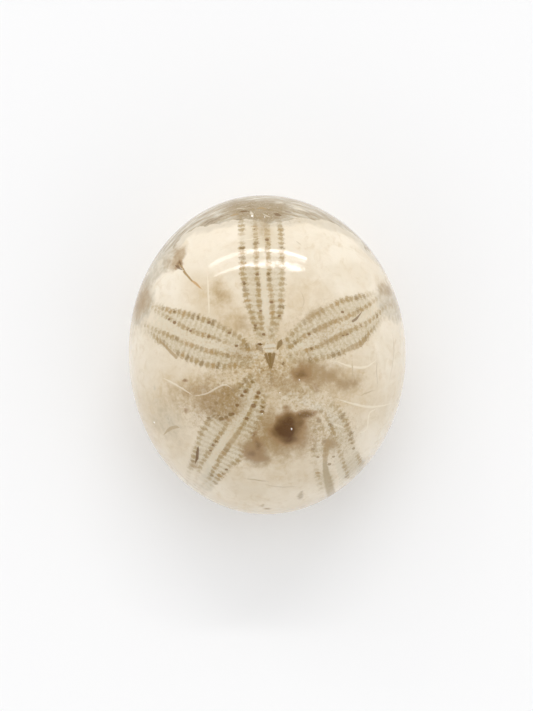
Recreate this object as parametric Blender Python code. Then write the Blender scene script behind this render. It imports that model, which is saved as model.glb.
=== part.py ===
"""A polished fossil sea urchin: one domed, oval lump of calcite with a flat face that it rests on.

The lump starts as an even ball, and every point of the ball is pushed out to a superellipse profile: a
dome above the girth, and below it a shorter, squarer belly that is ground flat at z = 0. The mouth and
the vent are shallow hollows in the belly, and the top is polished smooth.

Metres, +Z up, the animal's front towards +Y, the origin under the middle of the outline.
"""

from math import atan2, cos, hypot, radians

import bmesh
import bpy
from mathutils import Vector

NODE_NAME = "sea_urchin_fossil"

# Overall size.
LENGTH = 0.0480  # front to back, along Y
WIDTH = 0.0417  # side to side, along X
HEIGHT = 0.0275  # resting face to apex

# The profile: the height where it is widest, how deep the belly would reach if it weren't ground flat,
# and how square the superellipse is above and below the girth, where 2 is a plain ellipse.
GIRTH_HEIGHT = 0.0105
BELLY_DEPTH = 0.01155
DOME_SQUARENESS = 2.1
BELLY_SQUARENESS = 2.5
GIRTH_BLEND = 0.35  # how far above and below the girth one profile turns into the other, as a sine
GROUND_EDGE = 0.0005  # height over which the belly rounds into the ground face

# Uneven growth of the outline: the number of lobes, how far they stand out as a share of the radius, and
# the direction of one of them, in degrees anticlockwise from +X as seen from above.
OUTLINE_LOBES = ((2, 0.005, 125.0), (3, 0.005, 130.0))

# Hollows in the belly: the centre in plan, the half-widths along X and Y, and the depth.
MOUTH = ((0.0, 0.0012), (0.0026, 0.0021), 0.0012)
VENT = ((0.0, -0.0160), (0.0014, 0.0020), 0.0008)
HOLLOWS = (MOUTH, VENT)

BALL_SUBDIVISIONS = 5  # an icosphere of 5,120 triangles
FINE_REACH = 2.3  # edges within this share of a hollow's half-widths are cut finer
FINE_CUTS = 3

# The stone's finish.
STONE_COLOUR = (0.74, 0.64, 0.48, 1.0)
STONE_ROUGHNESS = 0.16
STONE_METALLIC = 0.0


def smooth_step(low, high, value):
    """0 at low and 1 at high, with an even curve between them."""
    share = min(1.0, max(0.0, (value - low) / (high - low)))
    return share * share * (3.0 - 2.0 * share)


def outline_share(angle):
    """How far the outline reaches at this angle, as a share of the plain ellipse."""
    return 1.0 + sum(
        share * cos(lobes * (angle - radians(first))) for lobes, share, first in OUTLINE_LOBES
    )


def ground_flat(height):
    """The height after the belly is ground flat at 0, with a rounded edge round the ground face."""
    if height <= -GROUND_EDGE:
        return 0.0
    if height >= GROUND_EDGE:
        return height
    return (height + GROUND_EDGE) ** 2 / (4.0 * GROUND_EDGE)


def stone_point(direction):
    """The point of the plain stone, without its hollows, that lies in a unit direction of the ball."""
    across = hypot(direction.x, direction.y)
    belly = smooth_step(GIRTH_BLEND, -GIRTH_BLEND, direction.z)
    squareness = DOME_SQUARENESS + (BELLY_SQUARENESS - DOME_SQUARENESS) * belly
    dome_height = HEIGHT - GIRTH_HEIGHT
    half_height = dome_height + (BELLY_DEPTH - dome_height) * belly
    reach = (across**squareness + abs(direction.z) ** squareness) ** (-1.0 / squareness)
    spread = reach * (1.0 + (outline_share(atan2(direction.y, direction.x)) - 1.0) * across)
    return Vector(
        (
            WIDTH / 2.0 * spread * direction.x,
            LENGTH / 2.0 * spread * direction.y,
            ground_flat(GIRTH_HEIGHT + half_height * reach * direction.z),
        )
    )


def hollow_reach(point, hollow):
    """How far out a point lies in plan from a hollow's centre, where the hollow's rim is 1."""
    (centre_x, centre_y), (half_x, half_y), _depth = hollow
    if point.z > GIRTH_HEIGHT:
        return float("inf")
    return hypot((point.x - centre_x) / half_x, (point.y - centre_y) / half_y)


def hollow_depth(point):
    """How far the belly is raised at this point by the hollows."""
    depth_here = 0.0
    for hollow in HOLLOWS:
        _centre, _half_widths, depth = hollow
        reach = hollow_reach(point, hollow)
        if reach < 1.0:
            depth_here += depth * (1.0 - reach**2) ** 2
    return depth_here


def edge_near_a_hollow(edge):
    """Whether both ends of one of the ball's edges fall close to the same hollow."""
    ends = [stone_point(vert.co.normalized()) for vert in edge.verts]
    return any(all(hollow_reach(end, hollow) < FINE_REACH for end in ends) for hollow in HOLLOWS)


def fit_to_size(verts, axis, size):
    """Stretch the points along one axis to exactly this size, centred on 0."""
    low = min(vert.co[axis] for vert in verts)
    high = max(vert.co[axis] for vert in verts)
    for vert in verts:
        vert.co[axis] = (vert.co[axis] - (low + high) / 2.0) * size / (high - low)


def make_stone_mesh():
    """The fossil's closed surface."""
    shape = bmesh.new()
    bmesh.ops.create_icosphere(shape, subdivisions=BALL_SUBDIVISIONS, radius=1.0)
    fine_edges = [edge for edge in shape.edges if edge_near_a_hollow(edge)]
    bmesh.ops.subdivide_edges(shape, edges=fine_edges, cuts=FINE_CUTS, use_grid_fill=True)
    bmesh.ops.triangulate(shape, faces=shape.faces[:])

    for vert in shape.verts:
        vert.co = stone_point(vert.co.normalized())
    fit_to_size(shape.verts, 0, WIDTH)
    fit_to_size(shape.verts, 1, LENGTH)
    for vert in shape.verts:
        vert.co.z += hollow_depth(vert.co)
    bmesh.ops.recalc_face_normals(shape, faces=shape.faces[:])

    mesh = bpy.data.meshes.new(NODE_NAME)
    shape.to_mesh(mesh)
    shape.free()
    mesh.shade_smooth()
    return mesh


def make_stone_material():
    """Cream calcite with a polish."""
    material = bpy.data.materials.new("polished_calcite")
    material.use_nodes = True
    shader = material.node_tree.nodes["Principled BSDF"]
    shader.inputs["Base Color"].default_value = STONE_COLOUR
    shader.inputs["Roughness"].default_value = STONE_ROUGHNESS
    shader.inputs["Metallic"].default_value = STONE_METALLIC
    return material


def make_fossil():
    """The fossil as one object."""
    fossil = bpy.data.objects.new(NODE_NAME, make_stone_mesh())
    fossil.data.materials.append(make_stone_material())
    bpy.context.scene.collection.objects.link(fossil)
    return fossil


for old_object in list(bpy.data.objects):
    bpy.data.objects.remove(old_object)
make_fossil()
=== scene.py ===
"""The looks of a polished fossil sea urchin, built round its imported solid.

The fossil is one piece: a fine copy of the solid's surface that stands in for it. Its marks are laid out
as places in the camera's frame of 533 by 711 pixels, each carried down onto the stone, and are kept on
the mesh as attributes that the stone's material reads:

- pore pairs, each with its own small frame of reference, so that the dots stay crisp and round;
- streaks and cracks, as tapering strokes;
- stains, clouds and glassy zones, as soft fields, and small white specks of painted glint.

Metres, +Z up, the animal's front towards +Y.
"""

import random
from math import cos, pi, radians, sin

import bmesh
import bpy
import numpy as np
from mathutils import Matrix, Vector, noise
from mathutils.bvhtree import BVHTree


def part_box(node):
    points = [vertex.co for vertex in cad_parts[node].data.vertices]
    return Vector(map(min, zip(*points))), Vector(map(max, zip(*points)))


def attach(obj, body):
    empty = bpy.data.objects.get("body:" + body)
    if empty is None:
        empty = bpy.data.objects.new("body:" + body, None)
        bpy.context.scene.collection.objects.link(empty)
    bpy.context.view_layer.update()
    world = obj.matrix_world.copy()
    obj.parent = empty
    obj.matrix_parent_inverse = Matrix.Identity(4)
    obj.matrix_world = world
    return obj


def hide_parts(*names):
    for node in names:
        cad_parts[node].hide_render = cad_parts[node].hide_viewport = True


NODE = "sea_urchin_fossil"
MM = 0.001

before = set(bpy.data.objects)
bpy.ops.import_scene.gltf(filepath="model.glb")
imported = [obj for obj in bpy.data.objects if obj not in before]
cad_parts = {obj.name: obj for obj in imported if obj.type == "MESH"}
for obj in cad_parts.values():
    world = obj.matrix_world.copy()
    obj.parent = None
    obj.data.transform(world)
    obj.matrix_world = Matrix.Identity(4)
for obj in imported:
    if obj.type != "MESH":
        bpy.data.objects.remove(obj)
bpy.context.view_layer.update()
LOW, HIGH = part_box(NODE)
WIDTH = HIGH.x - LOW.x
LENGTH = HIGH.y - LOW.y
HEIGHT = HIGH.z - LOW.z

# The solid's profile, as in its own source.
GIRTH_HEIGHT = 0.0105
BELLY_DEPTH = 0.01155
DOME_SQUARENESS = 2.1
BELLY_SQUARENESS = 2.5
GIRTH_BLEND = 0.35
GROUND_EDGE = 0.0005
OUTLINE_LOBES = ((2, 0.005, 125.0), (3, 0.005, 130.0))
MOUTH = ((0.0, 0.0012), (0.0026, 0.0021), 0.0012)
VENT = ((0.0, -0.0160), (0.0014, 0.0020), 0.0008)

# The camera looks straight down. Its frame is FRAME_SIZE pixels, and one pixel covers PIXEL metres at the
# height of the girth.
FRAME_SIZE = (533, 711)
PIXEL = 0.0001508
CAMERA_RISE = 0.250  # above the girth
OUTLINE_CENTRE = (267.25, 354.75)  # where the middle of the outline is in the frame
SENSOR = 36.0  # millimetres
CLIP_START = 0.01

# ---------------------------------------------------------------------------------------------- camera

FRAME_CENTRE = (FRAME_SIZE[0] / 2.0, FRAME_SIZE[1] / 2.0)
CAMERA_PLACE = Vector(
    (
        (FRAME_CENTRE[0] - OUTLINE_CENTRE[0]) * PIXEL,
        (OUTLINE_CENTRE[1] - FRAME_CENTRE[1]) * PIXEL,
        GIRTH_HEIGHT + CAMERA_RISE,
    )
)


def make_camera():
    """The camera over the fossil."""
    camera = link_object("camera", bpy.data.cameras.new("camera"))
    camera.location = CAMERA_PLACE
    camera.data.sensor_width = SENSOR
    camera.data.lens = SENSOR * CAMERA_RISE / (FRAME_SIZE[1] * PIXEL)
    camera.data.clip_start = CLIP_START
    bpy.context.scene.camera = camera


def frame_places(points):
    """Where points, as rows of x, y and z, fall in the camera's frame, as rows of pixels."""
    depth = CAMERA_PLACE.z - points[:, 2]
    across = (points[:, 0] - CAMERA_PLACE.x) * CAMERA_RISE / depth / PIXEL
    down = (points[:, 1] - CAMERA_PLACE.y) * CAMERA_RISE / depth / PIXEL
    return np.stack([FRAME_CENTRE[0] + across, FRAME_CENTRE[1] - down], axis=1)


# --------------------------------------------------------------------------------------- stone's shape

BALL_SUBDIVISIONS = 6
FINE_ABOVE = -0.05  # directions of the ball higher than this are cut finer
FINE_CUTS = 3


def smooth_step(low, high, value):
    """0 at low and 1 at high, with an even curve between them, for numbers or arrays."""
    share = np.clip((value - low) / (high - low), 0.0, 1.0)
    return share * share * (3.0 - 2.0 * share)


def stone_points(directions):
    """The points of the plain stone, without its hollows, in these unit directions."""
    across = np.hypot(directions[:, 0], directions[:, 1])
    angle = np.arctan2(directions[:, 1], directions[:, 0])
    belly = smooth_step(GIRTH_BLEND, -GIRTH_BLEND, directions[:, 2])
    squareness = DOME_SQUARENESS + (BELLY_SQUARENESS - DOME_SQUARENESS) * belly
    dome_height = HEIGHT - GIRTH_HEIGHT
    half_height = dome_height + (BELLY_DEPTH - dome_height) * belly
    reach = (across**squareness + np.abs(directions[:, 2]) ** squareness) ** (-1.0 / squareness)
    lobes = sum(share * np.cos(count * (angle - radians(first))) for count, share, first in OUTLINE_LOBES)
    spread = reach * (1.0 + lobes * across)
    height = GIRTH_HEIGHT + half_height * reach * directions[:, 2]
    rounded = (height + GROUND_EDGE) ** 2 / (4.0 * GROUND_EDGE)
    ground = np.where(height <= -GROUND_EDGE, 0.0, np.where(height < GROUND_EDGE, rounded, height))
    sideways = WIDTH / 2.0 * spread * directions[:, 0]
    lengthways = LENGTH / 2.0 * spread * directions[:, 1]
    return np.stack([sideways, lengthways, ground], axis=1)


def sink_hollows(points):
    """Raise the belly into the mouth and the vent."""
    for (centre_x, centre_y), (half_x, half_y), depth in (MOUTH, VENT):
        reach = np.hypot((points[:, 0] - centre_x) / half_x, (points[:, 1] - centre_y) / half_y)
        inside = (reach < 1.0) & (points[:, 2] < GIRTH_HEIGHT)
        points[inside, 2] += depth * (1.0 - reach[inside] ** 2) ** 2
    return points


def vertex_array(verts):
    """The places of a bmesh's points as an array."""
    return np.array([vert.co for vert in verts], dtype=float)


def make_stone_shape():
    """The fossil's surface as a bmesh of triangles, fine above the girth."""
    shape = bmesh.new()
    bmesh.ops.create_icosphere(shape, subdivisions=BALL_SUBDIVISIONS, radius=1.0)
    upper_edges = [edge for edge in shape.edges if min(vert.co.z for vert in edge.verts) > FINE_ABOVE]
    bmesh.ops.subdivide_edges(shape, edges=upper_edges, cuts=FINE_CUTS, use_grid_fill=True)
    bmesh.ops.triangulate(shape, faces=shape.faces[:])
    directions = vertex_array(shape.verts)
    directions /= np.linalg.norm(directions, axis=1)[:, None]
    points = stone_points(directions)
    for axis, low, high in ((0, LOW.x, HIGH.x), (1, LOW.y, HIGH.y)):
        least = points[:, axis].min()
        most = points[:, axis].max()
        points[:, axis] = low + (points[:, axis] - least) * (high - low) / (most - least)
    for vert, point in zip(shape.verts, sink_hollows(points)):
        vert.co = point
    bmesh.ops.recalc_face_normals(shape, faces=shape.faces[:])
    return shape


# ------------------------------------------------------------------------------- places of the marks
# Every place is in pixels of the camera's frame.

PORE_PITCH = 0.80 * MM  # from one pore pair to the next
BELOW_PITCH = 1.00 * MM  # the same below the girth

# Five petals, clockwise from the front one. Each has two zones of pore pairs, and a zone is an outer row
# and an inner row, from the apex outwards, given at places where the two rows' pores are pairs.
FRONT_PETAL = (
    (
        ((258.6, 334), (255, 325.6), (250.2, 310), (246, 294), (242.9, 274), (241.8, 250), (241.7, 218)),
        ((263.5, 335), (261.6, 325), (259.6, 310), (258.5, 294), (257.2, 274), (256, 250), (255.3, 218)),
    ),
    (
        ((274, 334), (277.2, 325), (280.3, 310), (281.9, 291), (282.3, 271), (281.5, 248), (279.2, 218)),
        ((270, 336), (272.2, 325), (272.2, 310), (270.6, 292), (269.1, 272), (268, 248), (266.7, 218)),
    ),
)
RIGHT_PETAL = (
    (
        (
            (287.5, 339.5), (294.8, 331), (303.5, 322.5), (325, 309.2),
            (345, 300.5), (359.5, 297.2), (373, 293),
        ),
        ((290.5, 346), (297.4, 341.5), (309, 334), (333.5, 322), (352, 314.6), (365, 307.2), (380, 297)),
    ),
    (
        ((294, 361), (308.5, 361), (321.5, 358.6), (337.5, 353.8), (357, 345.5), (369, 333.5), (380, 319)),
        (
            (290, 355.8), (304.8, 351.7), (315.9, 347.5), (329.8, 340.6),
            (351, 330.4), (371.5, 320), (386, 307),
        ),
    ),
)
LOWER_RIGHT_PETAL = (
    (
        ((296, 378), (313, 390), (330, 402.5), (342, 415), (349.3, 431), (354.3, 448.5), (360.5, 464)),
        ((290, 380), (304, 393), (319, 408), (330, 424), (336, 440), (341, 457), (348, 478)),
    ),
    (
        ((283, 388), (294, 402), (307, 413), (314.5, 429), (313.8, 445), (314.8, 461), (319.5, 478)),
        ((286, 384), (299, 397), (312, 411), (321.5, 427), (325, 444), (326, 462), (330, 486)),
    ),
)
LOWER_LEFT_PETAL = (
    (
        ((250, 376.5), (239.5, 386), (228.5, 398.5), (221, 406.5), (208.5, 420), (199.5, 438), (193, 461)),
        (
            (252.8, 381.5), (244.9, 392.2), (237.5, 405.3), (232.5, 413.7),
            (223.1, 430), (213.2, 444.9), (202, 463),
        ),
    ),
    (
        ((264.5, 397), (262, 410), (258.7, 422), (252.8, 436), (241, 456.5), (231, 466), (217.5, 479)),
        ((259, 391), (253.8, 405.8), (246.9, 418.2), (240, 430), (226, 449.5), (219.5, 460), (211.5, 475)),
    ),
)
LEFT_PETAL = (
    (
        ((247.5, 363), (237, 365.3), (222.5, 367), (206, 364.2), (184.5, 356.8), (165, 344.8), (149, 331.5)),
        ((250, 358.5), (239.9, 357.2), (226.5, 355.9), (211, 351.6), (189, 344.4), (165, 333.9), (145, 325)),
    ),
    (
        ((246.5, 345), (240, 338.5), (225, 329), (205.5, 320), (189.5, 314.8), (173, 311.5), (157, 306.5)),
        ((248, 350), (237, 346), (220.7, 339.9), (201, 334.3), (184, 327.5), (169, 318.8), (152, 307)),
    ),
)
PETALS = (FRONT_PETAL, RIGHT_PETAL, LOWER_RIGHT_PETAL, LOWER_LEFT_PETAL, LEFT_PETAL)
PETAL_STRIPES = ((0.42, 0.6), (0.45, 0.55), (0.3, 0.5), (0.6, 1), (0.45, 0.7))  # how clear, in each zone
PETAL_ENDS = (1, 0.78, 0.88, 0.88, 0.80)  # the share of each row's seen length where it begins to fade
FADED = 0.15  # what is left of a row beyond its petal

# Places where the pore rows have worn away: the centre, the half-widths, and how much of them is lost.
WORN = (
    ((222, 403), (17, 13), 0.50),
    ((283, 385), (26, 16), 0.9),
    ((305, 405), (22, 14), 0.95),
    ((322, 418), (13, 11), 0.7),
    ((328, 438), (12, 12), 0.8),
    ((316, 466), (9, 14), 0.9),
    ((333, 470), (7, 14), 0.5),
    ((342, 464), (8, 22), 0.65),
    ((249, 447), (11, 12), 0.8),
    ((378, 299), (10, 10), 0.45),
    ((300, 361), (12, 6), 0.6),
)

# Places where the ground between the pore rows is smooth, given in the same way.
SMOOTH_GROUND = (((262, 230), (36, 30), 0.9),)

# Soft fields. A patch is its centre, its half-widths, its turn in degrees anticlockwise, how soft its
# edge is, and its strength.
BROAD_WARMTH = (
    ((262, 370), (64, 48), 0, 0.9, 0.95),
    ((224, 312), (27, 25), -20, 1, 0.65),
    ((330, 333), (38, 20), 25, 0.8, 0.85),
    ((335, 380), (30, 20), 0, 0.9, 0.90),
    ((204, 390), (42, 24), 8, 0.8, 0.95),
    ((225, 340), (34, 22), -20, 0.9, 0.70),
    ((200, 338), (32, 15), -15, 0.9, 0.75),
    ((219, 296), (15, 16), 0, 0.8, 0.85),
    ((203, 292), (16, 13), 0, 1, 0.72),
    ((233, 320), (17, 15), 0, 0.8, 0.90),
    ((198, 378), (20, 10), 8, 0.9, 0.80),
    ((316, 408), (24, 14), 0, 0.9, 0.70),
    ((262, 436), (46, 34), 0, 0.8, 0.95),
    ((330, 428), (20, 24), 0, 1, 0.60),
    ((224, 448), (22, 24), 0, 1, 0.60),
    ((262, 288), (26, 28), 0, 1, 0.45),
    ((299, 306), (20, 26), 0, 1, 0.70),
    ((262, 232), (9, 15), 0, 0.9, 0.80),
    ((285, 477), (30, 12), 0, 1, 0.62),
    ((172, 415), (28, 34), 0, 0.9, 0.76),
    ((262, 500), (40, 14), 0, 1, 0.35),
    ((342, 398), (34, 20), 0, 1, 0.80),
)
TAN_CLOUDS = (
    ((220, 402), (25, 15), 8, 0.7, 1.05),
    ((207, 391), (15, 9), 0, 0.8, 0.76),
    ((189, 402), (9, 8), 0, 0.9, 0.50),
    ((221, 418), (13, 6), 5, 0.7, 0.60),
    ((284, 434), (30, 21), 0, 0.6, 0.95),
    ((268, 424), (15, 15), 0, 0.8, 0.88),
    ((285, 449), (25, 11), 4, 0.8, 0.78),
    ((310, 440), (12, 12), 0, 0.8, 0.42),
    ((249, 448), (11, 8), -25, 0.8, 1.05),
    ((257, 455), (13, 9), -20, 0.8, 1.05),
    ((257, 441), (5, 4), -30, 0.7, 1.40),
    ((309, 371), (16, 12), 0, 0.8, 1.05),
    ((326, 376), (20, 12), -5, 0.9, 0.88),
    ((344, 383), (16, 11), 0, 0.8, 0.78),
    ((286, 384), (24, 17), 0, 0.9, 0.60),
    ((270, 380), (19, 17), 0, 0.9, 0.62),
    ((242, 354), (16, 12), 0, 0.9, 0.50),
    ((219, 295), (10, 14), 10, 0.8, 0.45),
    ((241, 323), (13, 11), -30, 0.7, 0.45),
    ((229, 317), (12, 9), 0, 0.9, 0.35),
    ((195, 395), (24, 15), 5, 0.9, 0.60),
    ((208, 380), (14, 8), 0, 0.9, 0.50),
    ((325, 334), (20, 13), 25, 0.9, 0.45),
    ((356, 318), (15, 9), 30, 0.9, 0.28),
    ((178, 256), (8.5, 12), -15, 0.4, 0.74),
    ((386, 289), (6, 10), 20, 0.6, 0.60),
    ((331, 443), (8, 9), 0, 0.6, 0.80),
    ((194, 464), (5, 4), 0, 0.7, 0.70),
    ((140, 301), (8, 19), -12, 0.7, 0.85),
    ((174, 263), (10, 7.5), 0, 0.5, 0.72),
    ((389, 303), (9, 14), 20, 0.8, 0.40),
    ((302, 495), (5, 2.4), 40, 0.6, 0.45),
    ((265.5, 507), (6.5, 2.2), 0, 0.6, 0.60),
    ((315, 312), (12, 7), 25, 0.9, 0.50),
    ((260.5, 226), (6.5, 13), 0, 0.8, 0.50),
)
UMBER_STAINS = (
    ((288, 428), (12.5, 13.5), -20, 0.7, 1.12),
    ((289, 438), (11, 8), 0, 0.7, 0.86),
    ((279, 431), (10, 10), 0, 0.8, 0.78),
    ((299, 426), (9, 10), 0, 0.8, 0.74),
    ((304, 417.5), (13, 5.5), 12, 0.7, 0.76),
    ((295, 434), (20, 16), 0, 0.8, 0.42),
    ((259, 447), (5.5, 10), 15, 0.8, 0.62),
    ((254, 455), (10, 6.5), -20, 0.9, 0.63),
    ((248, 450), (6, 5), 0, 0.8, 0.45),
    ((304, 373), (10, 9), 0, 0.8, 0.66),
    ((315, 387), (4, 5), 0, 0.8, 0.42),
    ((287, 408), (5, 3.5), 0, 0.8, 0.50),
    ((179, 265), (4.5, 4.5), 0, 0.8, 0.74),
    ((225, 418), (6, 2.5), 5, 0.7, 0.48),
    ((253, 436), (3, 5), -15, 0.8, 0.62),
    ((184.5, 380), (3.4, 2.2), -15, 0.7, 0.62),
    ((186.9, 411.5), (2.2, 3.4), 0, 0.8, 0.56),
    ((319, 421), (2, 1.6), 30, 0.8, 0.45),
)
GREY_GLASS = (
    ((140, 302), (11, 22), -14, 0.6, 1.30),
    ((155, 264), (11, 25), -34, 0.7, 1.10),
    ((390, 303), (11, 17), 20, 0.7, 1.20),
    ((180, 430), (14, 12), 0, 1, 0.42),
    ((331, 420), (13, 10), 0, 0.9, 0.50),
    ((208, 478), (12, 15), -30, 0.6, 0.62),
    ((256, 452), (12, 14), 20, 0.7, 0.85),
    ((349, 471), (12, 11), -30, 0.7, 0.65),
    ((360, 467), (5, 8), -35, 0.6, 0.85),
    ((168, 420), (26, 32), 20, 1, 0.60),
    ((154, 388), (4, 4), 0, 0.8, 0.55),
    ((159, 401), (14, 13), 0, 1, 0.48),
    ((345, 383), (14, 10), 0, 1, 0.46),
    ((302, 495), (5, 2.5), 40, 0.7, 0.60),
    ((265.5, 507), (6, 2), 0, 0.7, 0.60),
)
MILKY_PATCHES = (
    ((305, 402), (10, 7), -25, 0.8, 0.66),
    ((316, 407), (13, 8), -10, 0.8, 0.70),
    ((335, 424), (12, 11), -30, 0.9, 0.60),
    ((318, 446), (8, 10), 0, 0.9, 0.55),
    ((336.5, 444.5), (2, 2.6), -40, 0.5, 1.00),
    ((227, 405.5), (6, 5), 0, 0.8, 0.70),
    ((345, 462), (9, 12), -25, 0.9, 0.50),
    ((378, 300), (9, 6), 20, 0.8, 0.40),
)

# Where the polish is crinkled, at the lower edge of the light's reflection.
CRINKLED = (
    ((282, 266), (29, 7), -4, 0.25, 1.00),
    ((262, 256), (23, 10), 0, 0.5, 0.70),
)

# Plain ground that is paler, grime on the crescent, and ground that is specked pale and dark.
PALE_ISLANDS = (((210, 246), (34, 24), 35, 0.9, 0.5),)
CRESCENT_DIRT = (((257, 209), (25, 9), 0, 0.6, 1.35), ((296, 212), (18, 5), -8, 0.8, 0.12))
MOTTLED = (
    ((262, 368), (40, 24), 0, 0.9, 0.85),
    ((222, 400), (30, 20), 10, 0.8, 0.95),
    ((300, 398), (32, 20), -20, 0.9, 0.62),
    ((325, 335), (34, 20), 25, 0.9, 0.60),
    ((328, 432), (20, 24), 0, 0.9, 0.75),
    ((256, 428), (14, 26), -20, 0.9, 0.65),
    ((215, 348), (40, 18), -15, 1, 0.40),
    ((262, 213), (34, 9), 0, 0.9, 0.80),
)

# The lower edge of the glassy crescent across the front, from left to right.
CRESCENT_EDGE = (
    (150, 262),
    (170.6, 248.4),
    (188.4, 231.6),
    (199, 224.7),
    (219, 221.7),
    (239, 220.7),
    (262, 221.5),
    (280, 222.5),
    (290, 219.7),
    (304.6, 217.7),
    (319.4, 221),
    (344, 229),
    (362, 243),
    (384, 268),
)

# Strokes: a colour's name, its opacity, and points as a place and a half-width in pixels.
CRACKS = (
    ("pale", 0.55, ((207.6, 272, 0), (208, 284, 0.8), (208.8, 304, 0.8), (209, 318, 0))),
    ("pale", 0.55, ((162, 377.5, 0), (170, 381.5, 0.7), (185.8, 390.5, 0.7), (193.5, 396.4, 0))),
    ("pale", 0.50, ((190, 396.5, 0), (206.3, 393.5, 0.7), (224, 384.6, 0.8), (232.5, 389, 0))),
    ("pale", 0.60, ((334, 360.5, 0), (351.1, 366.5, 1.1), (365.9, 366.9, 1), (378, 358.5, 0))),
    ("pale", 0.60, ((334, 398, 0), (356, 404.5, 1), (374, 407, 1.1), (394, 403, 0))),
    ("pale", 0.60, ((377, 408, 0), (369.4, 413.8, 0.9), (366.5, 429.2, 0.9), (357.5, 433.5, 0))),
    ("pale", 0.50, ((330, 423, 0), (338, 425.5, 1), (346, 429, 0))),
    ("pale", 0.55, ((243, 240, 0), (252, 239, 0.6), (266, 236, 0))),
    ("pale", 0.50, ((251, 211.5, 0.6), (252, 214.5, 1.4), (253.5, 218, 0))),
    ("pale", 0.40, ((262, 213.5, 0), (266, 215.5, 1.1), (271, 217.5, 0))),
    ("pale", 0.35, ((234, 209.5, 0), (240, 208.5, 0.9), (248, 209, 0))),
    ("shade", 0.40, ((377, 358, 0), (376.5, 371, 0.7), (378, 388, 0))),
    ("shade", 0.35, ((352, 357, 0), (352.6, 374, 0.7), (351, 382, 0))),
    ("shade", 0.45, ((360, 396, 0), (366, 393.2, 0.8), (376, 389.8, 0))),
    ("shade", 0.55, ((243, 478.4, 0), (256, 480, 0.9), (270, 481.8, 0))),
    ("shade", 0.30, ((262, 484, 0), (280, 487, 0.8), (300, 486, 0))),
    ("shade", 0.35, ((295, 240, 0), (298.5, 243, 0.8), (302, 246, 0))),
    ("shade", 0.40, ((318, 305, 0), (320.5, 315, 0.8), (317, 322, 0))),
    ("shade", 0.30, ((300, 290, 0), (304, 300, 0.7), (301, 311, 0))),
    ("shade", 0.30, ((392, 330, 0), (394, 352, 0.8), (389, 385, 0))),
    ("shade", 0.50, ((165, 456, 0), (184, 478, 0.8), (205, 495.5, 0))),
)
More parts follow.
